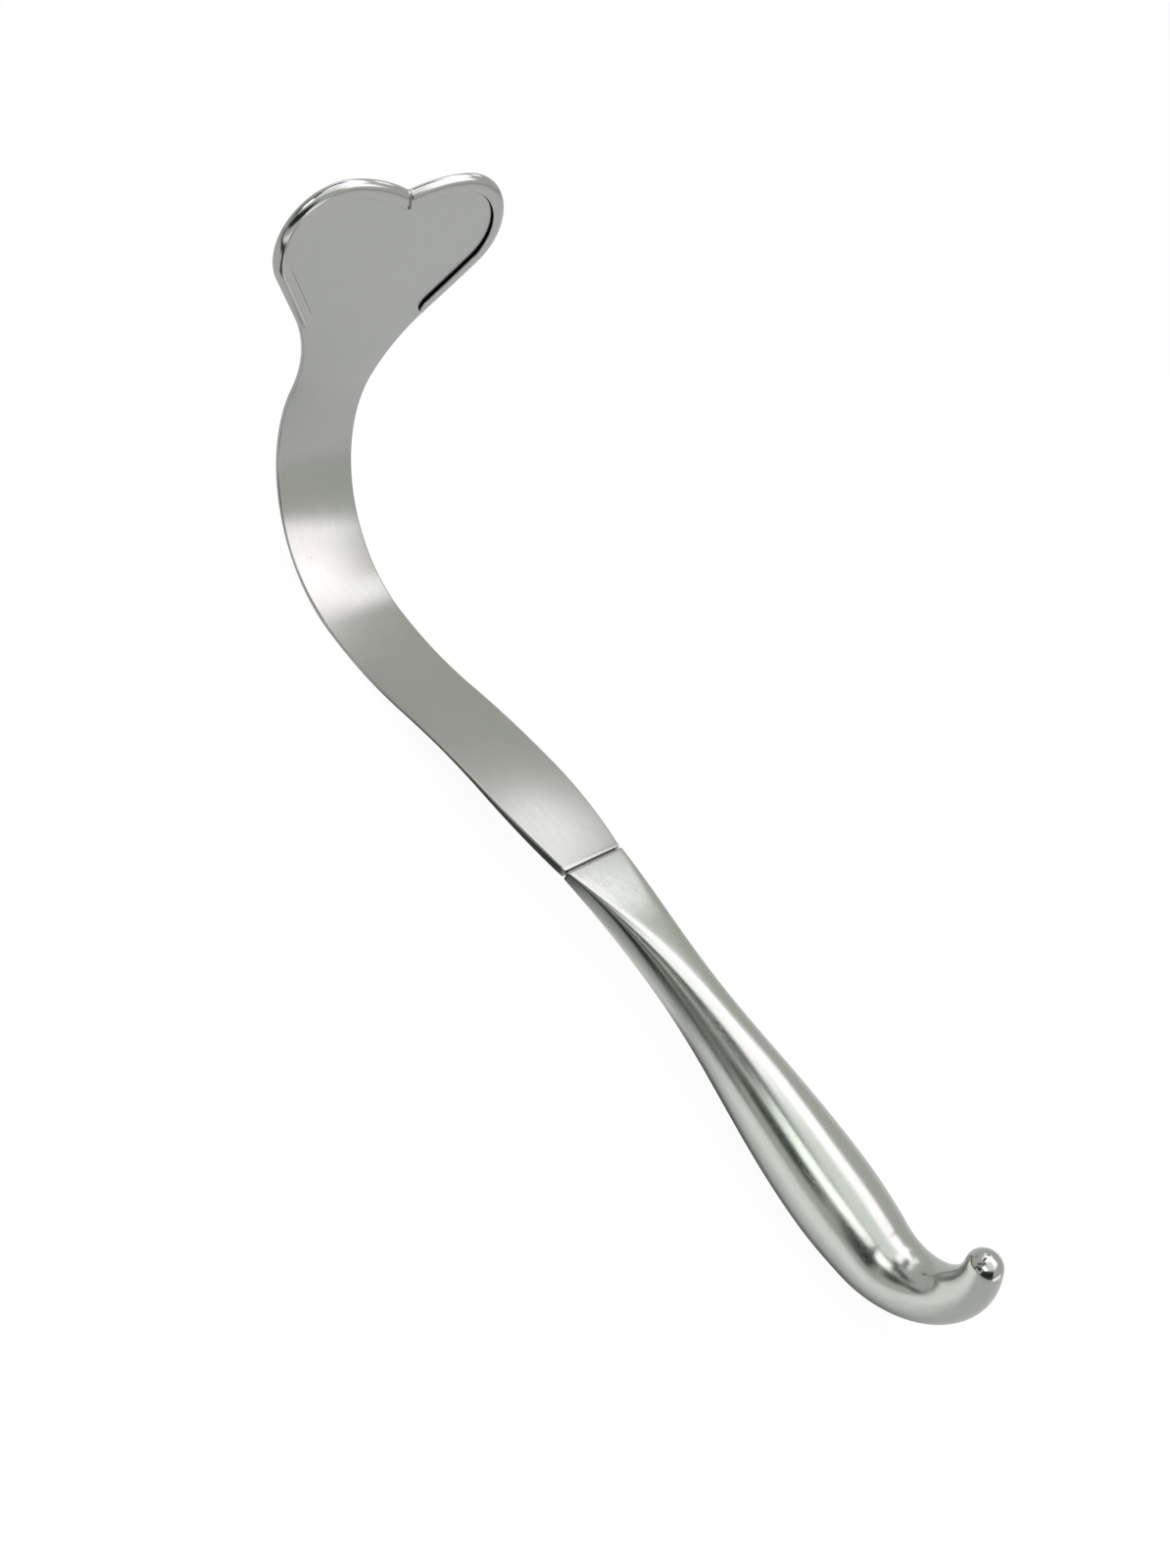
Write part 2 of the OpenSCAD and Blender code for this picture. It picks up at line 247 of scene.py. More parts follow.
def strap_view(strap):
    """Side view of the strap, from the joint to the top of the heart."""
    bend_length = strap.bend_radius * strap.bend_angle
    return SideView([
        (strap.arch_length, -1 / strap.arch_radius),
        (strap.ease_length, 1 / strap.ease_radius),
        (bend_length, 1 / strap.bend_radius),
        (1.0, -1 / strap.plate_radius),
    ])


def grip_view(grip):
    """Side view of the grip's centre line, from the joint back to the hook's end."""
    hook_length = grip.hook_radius * grip.hook_angle
    return SideView([
        (grip.root_length, -1 / grip.root_radius),
        (grip.body_length, -1 / grip.body_radius),
        (grip.lift_length, 1 / grip.lift_radius),
        (hook_length, 1 / grip.hook_radius),
        (1.0, 1e-6),
    ])


def rest(point):
    """Moves a point from the joint's frame to the frame of the resting object."""
    pose = bpy.context.scene.spatula_rest
    x, y, z = point
    cos, sin = math.cos(pose.tilt), math.sin(pose.tilt)
    return Vector((x * cos + z * sin + pose.shift_x, y, z * cos - x * sin + pose.shift_z))


# ---- Mesh work ----

# Points closer than this are merged
SAME_POINT = 0.002 * MM


class Loft:
    """A skin that is pulled ring by ring: each ring is extruded from the last and put in place."""

    def __init__(self, names):
        self.bm = bmesh.new()
        self.place = self.bm.verts.layers.int.new("place")
        self.flat = self.bm.verts.layers.float_vector.new("flat")
        self.marks = [self.bm.verts.layers.float.new(name) for name in names]
        self.ring = []

    def start(self, count):
        """The first ring, as a closed loop of loose edges."""
        made = [self.bm.verts.new() for _ in range(count)]
        for number, vert in enumerate(made):
            vert[self.place] = number
        self.ring = [self.bm.edges.new((made[i - 1], made[i])) for i in range(count)]
        return self.ring

    def pull(self):
        """Extrudes the last ring."""
        out = bmesh.ops.extrude_edge_only(self.bm, edges=self.ring)["geom"]
        self.ring = [item for item in out if isinstance(item, bmesh.types.BMEdge)]

    def put(self, points):
        """Places the last ring: each point is a position, its flat place and its marks."""
        for vert in {v for edge in self.ring for v in edge.verts}:
            position, flat, marks = points[vert[self.place]]
            vert.co = position
            vert[self.flat] = flat
            for layer, mark in zip(self.marks, marks):
                vert[layer] = mark

    def finish(self, name):
        """Merges doubles, turns the faces outwards and gives the finished piece."""
        bmesh.ops.remove_doubles(self.bm, verts=self.bm.verts, dist=SAME_POINT)
        bmesh.ops.recalc_face_normals(self.bm, faces=self.bm.faces)
        self.bm.verts.layers.int.remove(self.bm.verts.layers.int["place"])
        mesh = bpy.data.meshes.new(name)
        self.bm.to_mesh(mesh)
        self.bm.free()
        mesh.shade_smooth()
        piece = bpy.data.objects.new(name, mesh)
        bpy.context.collection.objects.link(piece)
        return piece


# ---- The blank and its folded rim ----

# Points round each corner of the edge, over the lip and round its inner edge
CORNER_STEPS = 9
LIP_TOP_STEPS = 4
LIP_EDGE_STEPS = 6
# Columns from the middle of the plate to its edge, and the shares of the way under the rim
COLUMNS = 9
BACK_COLUMNS = (0.0, 0.35, 0.7)
# The front corner starts just off level, so that it never doubles the back corner's last point
CORNER_START = 0.5
# Degrees that the lip's inner edge turns through, and where and over how many painted shade comes
# in
LIP_EDGE_TURN = 150
SHADE_FROM = 30
SHADE_SPAN = 60
# Share of the way from the lip's edge to the seam's back at which the seam's roof starts
SEAM_ROOF = 0.35
# Back of the seam: millimetres in from it, share of the seam's height, rim mark
SEAM_BACK = ((0.0, 0.9, 1.0), (-0.05, 0.4, 0.5), (0.05, 0.0, 0.0))
# Plate at the lip's edge: millimetres in from that edge, seam mark (share of painted shade)
SEAM_MOUTH = ((-0.1, 1.0), (0.12, 0.75), (0.3, 0.0))
# How early a rising lip takes its own spacing of points
LIP_SPACING = 0.25
# Plain plate inside the lip that still belongs to the cut
INNER_MARGIN = 0.5 * MM
END_CHAMFER = 0.12 * MM
# Gap between the tang and the wall of the grip, and the tang's corners as a share of the strap's
TANG_GAP = 0.3 * MM
TANG_CORNER = 0.7
# Cuts along the blank: shares of the tang, then counts for strap, neck, lip's end, flank,
# lobe and lobe's top
TANG_CUTS = (1.0, 0.75, 0.5, 0.25, 0.05, 0.0)
STRAP_CUTS = 140
NECK_CUTS = 30
LIP_END_CUTS = 16
FLANK_CUTS = 26
LOBE_CUTS = 72
TOP_CUTS = 36
# The lip rises over this length at its rounded end, and never quite from nothing
LIP_RISE = 0.7 * MM
LEAST_RISE = 1e-4
# The folded edge is this much thinner than the rim where the lip starts
FOLD_SLACK = 0.2 * MM
# Plain neck left before the lip, and slope left before the slit in the cleft
NECK_GAP = 0.12 * MM
SLIT_SLOPE = 0.06 * MM
# The plate's middle column ends this far below the cleft
CLEFT_MARGIN = 3 * MM


class Row:
    """One cut across the blank: where its edge is, which way that edge runs, and its middle.

    Over the top of a lobe, arc is that edge's own arc, as its centre and radius.
    """

    def __init__(self, x, s, turn, middle, arc=None):
        self.x, self.s, self.turn, self.middle, self.arc = x, s, turn, middle, arc

    def inset(self, d):
        """Point of the flat blank at the distance d inside the edge."""
        if self.arc is None:
            return self.x - d * math.cos(self.turn), self.s + d * math.sin(self.turn)
        centre_x, centre_s, radius = self.arc
        reach = max(0.0, (radius - d) ** 2 - (centre_x - self.x) ** 2)
        return self.x, centre_s + math.sqrt(reach)


def quarter(reach, rise, base, turn_from, turn_to):
    """Rounded edge of the sheet as (inset, height) points, from angle to angle."""
    points = []
    for i in range(CORNER_STEPS + 1):
        t = math.radians(blend(turn_from, turn_to, i / CORNER_STEPS))
        points.append((reach * (1 - math.cos(t)), base + rise * math.sin(t)))
    return points


def half_section(bottom, top, back, front, heart, lip_height, lip_reach):
    """Right half of a cut from the back corner round the edge to the plate inside the lip.

    The back and front of the edge are rounded by back and front. Each point is
    (inset, height, rim mark, seam mark), the seam mark being its share of painted shade.
    """
    full = lip_height / full_lip(heart)
    high = top + lip_height
    rise = blend(front, high - bottom - back, full)
    rolled = blend(front, min(heart.roll, lip_reach - 2 * heart.lip_edge), full)
    corners = quarter(back, back, bottom + back, -90, 0)
    corners += quarter(rolled, rise, high - rise, CORNER_START, 90)
    points = [(d, h, full, 0.0) for d, h in corners]

    edge = heart.lip_edge * full
    lip_from = lip_reach - heart.lip_edge
    seam = heart.seam_height * full
    seam_in = lip_reach - heart.seam_depth
    folded = [(blend(rolled, lip_from, f), high, 1.0, 0.0) for f in steps(0, 1, LIP_TOP_STEPS)]
    for degrees in steps(90, 90 - LIP_EDGE_TURN, LIP_EDGE_STEPS):
        t = math.radians(degrees)
        painted_shade = smooth((SHADE_FROM - degrees) / SHADE_SPAN)
        inset = lip_from + heart.lip_edge * math.cos(t)
        folded.append((inset, high - edge + edge * math.sin(t), 1.0, painted_shade))
    folded.append((blend(lip_from, seam_in, SEAM_ROOF), top + seam, 1.0, 1.0))
    folded += [(seam_in + d * MM, top + seam * h, rim, 1.0) for d, h, rim in SEAM_BACK]
    folded += [(lip_reach + d * MM, top, 0.0, painted_shade) for d, painted_shade in SEAM_MOUTH]

    inner = heart.lip_width + INNER_MARGIN
    count = len(folded)
    for number, (d, h, rim, painted_shade) in enumerate(folded, 1):
        plain = blend(rolled, inner, number / (count + 1))
        points.append((blend(plain, d, full ** LIP_SPACING), h, rim * full, painted_shade * full))
    points.append((inner, top, 0.0, 0.0))
    return points


def full_lip(heart):
    """Height of the lip above the sheet."""
    return heart.rim_thick - bpy.context.scene.spatula_strap.sheet


def crown_share(strap, heart, x, s):
    """Share of its thickness that the strap keeps at x across, fading in again up the neck."""
    fade = 1 - max(0.0, s - flare_start(strap)) / heart.rim_start
    drop = strap.crown_drop * (2 * x / strap.width) ** 2 * max(0.0, fade)
    return 1 - drop / strap_thickness(strap, s)


def whole_ring(row, section, strap, heart):
    """Both halves of one cut, bent to the side view: back middle, round the edge, front middle."""
    view = strap_view(strap)
    inner_d = section[-1][0]
    inner = row.inset(inner_d)
    back_h, front_h = section[0][1], section[-1][1]
    first_d = section[0][0]
    half = []
    for i in range(COLUMNS):
        f = i / COLUMNS
        half.append((inner[0] * f, blend(row.middle, inner[1], f), back_h, 0.0, 0.0))
    for f in BACK_COLUMNS:
        x, s = row.inset(blend(inner_d, first_d, f))
        half.append((x, s, back_h, section[0][2] * f, 0.0))
    for d, h, rim, painted_shade in section:
        x, s = row.inset(d)
        half.append((x, s, h, rim, painted_shade))
    for i in range(1, COLUMNS + 1):
        f = i / COLUMNS
        half.append((inner[0] * (1 - f), blend(inner[1], row.middle, f), front_h, 0.0, 0.0))
    other = [(-x, s, h, rim, painted_shade) for x, s, h, rim, painted_shade in reversed(half[1:-1])]
    points = []
    for x, s, h, rim, painted_shade in half + other:
        px, pz, heading = view.at(s)
        h = blend(back_h, h, crown_share(strap, heart, x, s))
        place = rest((px - h * math.sin(heading), x, pz + h * math.cos(heading)))
        points.append((place, (x, s, h), (rim, painted_shade)))
    return points


def strap_half_width(strap, s):
    """Half width of the strap at a distance from the joint."""
    if s > strap.narrowing:
        return strap.width / 2
    return blend(strap.joint_width, strap.width, 1 - (1 - s / strap.narrowing) ** 2) / 2


def strap_thickness(strap, s):
    """Thickness of the strap at a distance from the joint."""
    if s > strap.thinning:
        return strap.sheet
    return blend(strap.joint_thick, strap.sheet, smooth(s / strap.thinning))


def flare_start(strap):
    """Distance from the joint to the end of the bend, where the neck flares out."""
    return strap.arch_length + strap.ease_length + strap.bend_radius * strap.bend_angle


class BladeCuts:
    """Every cut of the blank, from the tang's end to the cleft, in rings as (row, section)."""

    def __init__(self, strap, heart, mouth):
        self.strap, self.heart = strap, heart
        self.flare_at = flare_start(strap)
        self.flare = heart.neck_radius * heart.flank_angle
        self.rings = []
        self.add_tang(mouth)
        self.add_strap()
        self.add_heart()

    def plain(self, row, inset=0.0):
        """A cut without a rim."""
        strap, heart = self.strap, self.heart
        radius = strap.edge_radius
        thick = strap_thickness(strap, max(0.0, row.s))
        self.rings.append((row, half_section(
            -thick + inset, -inset, radius, radius, heart, 0.0, heart.lip_width)))

    def folded(self, row, run):
        """A cut through the rim, run along the edge from its rounded end."""
        strap, heart = self.strap, self.heart
        rise = min(1.0, run / LIP_RISE)
        height = full_lip(heart) * math.sqrt(max(LEAST_RISE, 1 - (1 - rise) ** 2))
        across = min(1.0, run / heart.lip_width)
        start = (heart.rim_thick - FOLD_SLACK) / 2 + 2 * heart.lip_edge
        reach = blend(start, heart.lip_width, math.sqrt(1 - (1 - across) ** 2))
        self.rings.append((row, half_section(
            -strap.sheet, 0.0, heart.back_round, strap.edge_radius, heart, height, reach)))

    def add_tang(self, mouth):
        """The tang, which stays inside the wall of the grip, whose form is mouth."""
        strap, heart = self.strap, self.heart
        middle = -strap.joint_thick / 2
        radius = strap.edge_radius * TANG_CORNER
        for share in TANG_CUTS:
            s = -strap.tang_length * share
            half = mouth.half_width(max(-s, mouth.grip.groove)) - mouth.grip.wall - TANG_GAP
            self.rings.append((Row(half, s, 0, s), half_section(
                middle - strap.tang_thick / 2, middle + strap.tang_thick / 2, radius, radius,
                heart, 0.0, heart.lip_width)))

    def add_strap(self):
        """The strap, from its chamfered end to the end of the bend."""
        self.plain(Row(self.strap.joint_width / 2 - END_CHAMFER, 0.0, 0, 0.0), END_CHAMFER)
        for s in [END_CHAMFER] + steps(END_CHAMFER, self.flare_at, STRAP_CUTS):
            self.plain(Row(strap_half_width(self.strap, s), s, 0, s))

    def edge_row(self, run, middle=None):
        """Row at a distance up the neck and the flank."""
        strap, heart = self.strap, self.heart
        turn = min(heart.flank_angle, run / heart.neck_radius)
        on = max(0.0, run - self.flare)
        x = strap.width / 2 + heart.neck_radius * (1 - math.cos(turn)) + on * math.sin(turn)
        s = self.flare_at + heart.neck_radius * math.sin(turn) + on * math.cos(turn)
        return Row(x, s, turn, s if middle is None else middle)

    def add_heart(self):
        """The neck, then the rim up the flank and round the lobe to the cleft."""
        strap, heart = self.strap, self.heart
        slope = heart.flank_angle
        bends = heart.neck_radius + heart.lobe_radius
        across = heart.width / 2 - strap.width / 2
        flank = (across - bends * (1 - math.cos(slope))) / math.sin(slope)
        lobe_x = heart.width / 2 - heart.lobe_radius
        lobe_s = self.flare_at + bends * math.sin(slope) + flank * math.cos(slope)
        arc = (lobe_x, lobe_s + heart.lobe_radius - heart.crown_radius, heart.crown_radius)
        for run in steps(0, heart.rim_start - NECK_GAP, NECK_CUTS):
            self.plain(self.edge_row(run))

        middle_from = self.edge_row(heart.rim_start).s
        inner_radius = heart.crown_radius - heart.lip_width - INNER_MARGIN
        cleft = arc[1] + math.sqrt(inner_radius ** 2 - lobe_x ** 2)
        runs = [heart.rim_start + heart.lip_width * (i / LIP_END_CUTS) ** 2
                for i in range(LIP_END_CUTS + 1)]
        runs += steps(runs[-1], self.flare + flank, FLANK_CUTS)
        turns = steps(slope, -math.pi / 2, LOBE_CUTS)
        tops = steps(lobe_x, heart.slit / 2 + SLIT_SLOPE, TOP_CUTS)
        total = len(runs) + len(turns) + len(tops) + 2

        def middle(number):
            return blend(middle_from, cleft - CLEFT_MARGIN, number / total)

        for i, run in enumerate(runs):
            self.folded(self.edge_row(run, middle(i)), run - heart.rim_start)
        for i, turn in enumerate(turns, len(runs)):
            x = lobe_x + heart.lobe_radius * math.cos(turn)
            s = lobe_s - heart.lobe_radius * math.sin(turn)
            self.folded(Row(x, s, turn, middle(i)), heart.lip_width)
        for i, x in enumerate(tops, len(runs) + len(turns)):
            self.folded(Row(x, arc[1], 0, middle(i), arc), heart.lip_width)
        for i, x in enumerate((heart.slit / 2, 0.0), total - 1):
            self.plain(Row(x, arc[1], 0, middle(i), arc))


# ---- The grip ----

# Points round a section, cuts along the grip and cuts of its round end
AROUND = 80
GRIP_CUTS = 190
DOME_CUTS = 14
# Space between the mouth's rim and the first cut inside, and the chamfer inside the rim
MOUTH_STEP = 0.2 * MM
MOUTH_CHAMFER = 0.1 * MM
# Painted shade inside the mouth and on its rim, as shares of the seam colour
MOUTH_SHADE = 0.8
MOUTH_RIM_SHADE = 0.4
# The polish of the round end starts this share of its diameter before it
POLISH_LEAD = 0.8


class GripForm:
    """Half width and half depth of the grip at each distance from the joint."""

    joint_slope = -0.14
    rise_slope = 0.15
    neck_slope = 0.09
    hook_slope = -0.11
    # How round the mouth is, from 0 for sharp corners to 1 for an ellipse, and how the
    # sections change from there on: under 1 is sooner
    mouth_corner = 0.10
    rounding_pace = 0.8

    def __init__(self, grip, strap):
        self.grip, self.strap = grip, strap
        hook_length = grip.hook_radius * grip.hook_angle
        self.end = grip.root_length + grip.body_length + grip.lift_length + hook_length

    def tail(self, s):
        """Half width past the swell, where the section is round."""
        span = self.end - self.grip.swell_at
        f = (s - self.grip.swell_at) / span
        return eased(f, self.grip.swell / 2, self.grip.tip / 2, 0, self.hook_slope, span)

    def half_width(self, s):
        """Half width across the instrument."""
        g = self.grip
        if s > g.swell_at:
            return self.tail(s)
        if s > g.neck_at:
            f = smooth((s - g.neck_at) / (g.swell_at - g.neck_at))
            return blend(g.neck_width, g.swell, f) / 2
        joint, neck = self.strap.joint_width / 2, g.neck_width / 2
        return eased(s / g.neck_at, joint, neck, self.joint_slope, 0, g.neck_at)

    def half_depth(self, s):
        """Half depth from back to front."""
        g = self.grip
        if s > g.swell_at:
            return self.tail(s)
        joint, neck, slope = self.strap.joint_thick / 2, g.neck_depth / 2, self.neck_slope
        if s > g.neck_at:
            span = g.swell_at - g.neck_at
            return eased((s - g.neck_at) / span, neck, g.swell / 2, slope, 0, span)
        return eased(s / g.neck_at, joint, neck, self.rise_slope, slope, g.neck_at)

    def section(self, s, inset):
        """Points round the grip, from a squared section at the joint to a round one."""
        a = self.half_width(s) - inset
        b = self.half_depth(s) - inset
        f = smooth(min(1.0, s / self.grip.round_at) ** self.rounding_pace)
        power = blend(self.mouth_corner, 1.0, f)
        points = []
        for t in around():
            x, h = math.cos(t), math.sin(t)
            x, h = math.copysign(abs(x) ** power, x), math.copysign(abs(h) ** power, h)
            points.append((a * x, b * h))
        return points


def around():
    """Angles round a section of the grip."""
    return [2 * math.pi * k / AROUND for k in range(AROUND)]


def grip_point(view, strap, x, s, h):
    """Point of the grip: x across, s back from the joint, h above the centre line."""
    px, pz, heading = view.at(s)
    return rest((h * math.sin(heading) - px, x, pz - strap.joint_thick / 2 + h * math.cos(heading)))


# ---- Materials ----

# Depth of the steel's fine relief
RELIEF = 0.004 * MM
# Millimetres along the strap over which the steel turns lighter and cooler up to the plate's top,
# and its share
PLATE_FROM = 130
PLATE_TO = 235
PLATE_SHARE = 0.9
# Tones that clouds, wear and pits bring into the satin steel and the polished steel
SATIN_FINE = (0.40, 0.40, 0.39)
SATIN_RIM = (0.48, 0.475, 0.465)
SATIN_PIT = (0.16, 0.15, 0.14)
GRIP_BROAD = (0.465, 0.49, 0.46)
GRIP_FINE = (0.41, 0.43, 0.40)
GRIP_SPECK = (0.36, 0.38, 0.35)
GRIP_PIT = (0.2, 0.19, 0.18)
WHITE = (1.0, 1.0, 1.0, 1.0)


class Tone:
    """A shader socket that takes part in sums and products."""

    def __init__(self, nodes, socket):
        self.nodes, self.socket = nodes, socket

    def _maths(self, operation, *values):
        return self.nodes.node("ShaderNodeMath", dict(enumerate(values)), operation=operation)

    def __add__(self, other):
        return self._maths("ADD", self, other)

    def __radd__(self, other):
        return self._maths("ADD", other, self)

    def __sub__(self, other):
        return self._maths("SUBTRACT", self, other)

    def __rsub__(self, other):
        return self._maths("SUBTRACT", other, self)

    def __mul__(self, other):
        return self._maths("MULTIPLY", self, other)

    def __rmul__(self, other):
        return self._maths("MULTIPLY", other, self)

    def __abs__(self):
        return self._maths("ABSOLUTE", self)

    def above(self, low, high):
        """0 below low, 1 above high, and even between."""
        return self.nodes.node(
            "ShaderNodeMapRange", {"Value": self, "From Min": low, "From Max": high}, clamp=True
        )


class Nodes:
    """The nodes of a material or of the room."""

    def __init__(self, tree):
        self.tree = tree

    def node(self, kind, inputs, output=0, **settings):
        """Any node: its type, its inputs and its output by name or number, and its settings."""
        made = self.tree.nodes.new(kind)
        for setting, value in settings.items():
            setattr(made, setting, value)
        for key, value in inputs.items():
            if isinstance(value, Tone):
                self.tree.links.new(value.socket, made.inputs[key])
            else:
                made.inputs[key].default_value = value
        return Tone(self, made.outputs[output])

    def ray(self, kind):
        """1 for light rays of one kind, such as Is Camera Ray."""
        return self.node("ShaderNodeLightPath", {}, output=kind)

    def mix_shaders(self, factor, first, second):
        """Mixes two shaders."""
        return self.node("ShaderNodeMixShader", {0: factor, 1: first, 2: second})

    def show(self, surface, end="Material Output"):
        """Gives the surface its finished shader."""
        self.tree.links.new(surface.socket, self.tree.nodes[end].inputs["Surface"])


class Finish(Nodes):
    """A material under construction, with its principled shader ready."""

    def __init__(self, name, **constants):
        self.material = bpy.data.materials.new(name)
        self.material.use_nodes = True
        super().__init__(self.material.node_tree)
        self.shader = self.tree.nodes["Principled BSDF"]
        for socket, value in constants.items():
            self.shader.inputs[socket.replace("_", " ")].default_value = value

    def mix(self, factor, first, second):
        """Mixes two colours, each a colour or a link."""
        first, second = (c if isinstance(c, Tone) else (*c, 1.0) for c in (first, second))
        return self.node(
            "ShaderNodeMix", {0: factor, 6: first, 7: second}, output=2, data_type="RGBA"
        )

    def mark(self, name):
        """A number that the mesh carries at its points."""
        return self.node("ShaderNodeAttribute", {}, output=2, attribute_name=name)

    def flat(self, stretch):
        """Place on the unbent piece in millimetres, stretched across, along and up."""
        place = self.node("ShaderNodeAttribute", {}, output=1, attribute_name="flat")
        stretched = {0: place, 1: tuple(v / MM for v in stretch)}
        return self.node("ShaderNodeVectorMath", stretched, operation="MULTIPLY")

    def clouds(self, stretch, detail):
        """Soft noise over the flat piece."""
        return self.node(
            "ShaderNodeTexNoise", {"Vector": self.flat(stretch), "Scale": 1.0, "Detail": detail}
        )

    def pits(self, spacing, size, rarity):
        """Small round specks, one in some of the cells."""
        cells = {"Vector": self.flat((1 / spacing, 1 / spacing, 1 / spacing)), "Scale": 1.0}
        far = self.node("ShaderNodeTexVoronoi", cells, output="Distance")
        pick = self.node("ShaderNodeTexVoronoi", cells, output="Color")
        picked = self.node("ShaderNodeSeparateColor", {0: pick})
        chosen = picked.above(rarity, rarity + 0.02)
        return chosen * (1 - far.above(size / spacing * 0.5, size / spacing))

    def lines(self, stretch, turn, thin):
        """Hair lines: the narrow middle of a noise that is drawn out along one way."""
        turned = self.node(
            "ShaderNodeVectorRotate",
            {"Vector": self.flat((1, 1, 1)), "Angle": turn},
            rotation_type="Z_AXIS",
        )
        drawn = self.node("ShaderNodeVectorMath", {0: turned, 1: stretch}, operation="MULTIPLY")
        field = self.node("ShaderNodeTexNoise", {"Vector": drawn, "Scale": 1.0, "Detail": 1.0})
        return 1 - abs(field - 0.5).above(0, thin)

    def feed(self, socket, value):
        """Links a varying value to the shader."""
        self.tree.links.new(value.socket, self.shader.inputs[socket])

    def bump(self, height):
        """Gives the surface its fine relief."""
        relief = {"Height": height, "Distance": RELIEF, "Strength": 1.0}
        self.feed("Normal", self.node("ShaderNodeBump", relief))


def satin_steel(looks):
    """Satin steel of the strap and plate, polished on the folded rim."""
    finish = Finish("satin_steel", Metallic=1.0, Roughness=looks.satin_rough)
    rim, seam = finish.mark("rim"), finish.mark("seam")
    broad = finish.clouds((0.035, 0.02, 0.1), detail=2.0)
    fine = finish.clouds((0.5, 0.16, 0.5), detail=4.0)
    grain = finish.clouds((9.0, 0.9, 9.0), detail=2.0)
    pits = finish.pits(9.0, 0.30, 0.72) + finish.pits(4.0, 0.13, 0.6)
    tint = finish.mix(broad.above(0.35, 0.65), looks.satin_cool, looks.satin_warm)
    steel = finish.mix(0.6, looks.satin, tint)
    along = finish.node("ShaderNodeSeparateXYZ", {0: finish.flat((0, 1, 0))}, output="Y")
    steel = finish.mix(along.above(PLATE_FROM, PLATE_TO) * PLATE_SHARE, steel, looks.plate)
    steel = finish.mix(fine.above(0.3, 0.8) * 0.10, steel, SATIN_FINE)
    steel = finish.mix(rim * 0.5, steel, SATIN_RIM)
    steel = finish.mix(pits.above(0, 1) * 0.35, steel, SATIN_PIT)
    # Painted shade: the seam mark turns the steel near black in the seam under the lip
    finish.feed("Base Color", finish.mix(seam, steel, looks.seam))
    satin = looks.satin_rough + (fine - 0.5) * 0.10 + (grain - 0.5) * 0.06
    finish.feed("Roughness", satin * (1 - rim) + rim * looks.rim_rough + pits * 0.2)
    finish.bump((grain * 0.5 - pits * 2.0) * (1 - rim * 0.9))
    return finish.material


def polished_steel(looks):
    """Polished steel of the grip, with fine scratches from use."""
    finish = Finish("polished_steel", Metallic=1.0, Roughness=looks.grip_rough)
    seam, tip = finish.mark("seam"), finish.mark("tip")
    broad = finish.clouds((0.05, 0.03, 0.05), detail=2.0)
    fine = finish.clouds((0.8, 0.12, 0.8), detail=4.0)
    worn = finish.clouds((0.12, 0.08, 0.12), detail=3.0).above(0.45, 0.62)
    hair = finish.lines((1.8, 0.04, 1.8), 0.08, 0.014) + finish.lines((1.5, 0.06, 1.5), -0.5, 0.010)
    hair = hair * worn
    pits = finish.pits(11.0, 0.28, 0.75)
    specks = finish.clouds((2.4, 0.9, 2.4), detail=3.0)
    steel = finish.mix(broad.above(0.35, 0.65), looks.polished, GRIP_BROAD)
    steel = finish.mix(fine.above(0.4, 0.8) * 0.25, steel, GRIP_FINE)
    steel = finish.mix(specks.above(0.55, 0.75) * 0.25, steel, GRIP_SPECK)
    steel = finish.mix(pits.above(0, 1) * 0.5, steel, GRIP_PIT)
    # Painted shade: the seam mark turns the steel near black inside the mouth and on its rim
    finish.feed("Base Color", finish.mix(seam, steel, looks.seam))
    uneven = (fine - 0.5) * 0.10 + (specks - 0.5) * 0.10
    body = looks.grip_rough + uneven + hair * 0.12 + pits * 0.2
    finish.feed("Roughness", body * (1 - tip) + tip * looks.tip_rough)
    finish.bump(fine * 1.2 + specks * 0.8 - hair * 0.8 - pits * 2.0)
    return finish.material


# ---- Operators ----


class SPATULA_OT_blade(bpy.types.Operator):
    """Cuts the blank, folds its rim and bends it up"""

    bl_idname = "spatula.blade"
    bl_label = "Blade"

    def execute(self, context):
        """Makes the blade and puts it over its CAD node."""
        strap, heart = context.scene.spatula_strap, context.scene.spatula_heart
        rings = BladeCuts(strap, heart, GripForm(context.scene.spatula_grip, strap)).rings
        loft = Loft(("rim", "seam"))
        first = whole_ring(*rings[0], strap, heart)
        end = loft.start(len(first))
        loft.put(first)
        for row, section in rings[1:]:
            loft.pull()
            loft.put(whole_ring(row, section, strap, heart))
        bmesh.ops.holes_fill(loft.bm, edges=end, sides=0)
        piece = loft.finish("blade_steel")
        piece.data.materials.append(satin_steel(context.scene.spatula_steel))
        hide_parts("blade")
        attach(piece, "root")
        return {"FINISHED"}


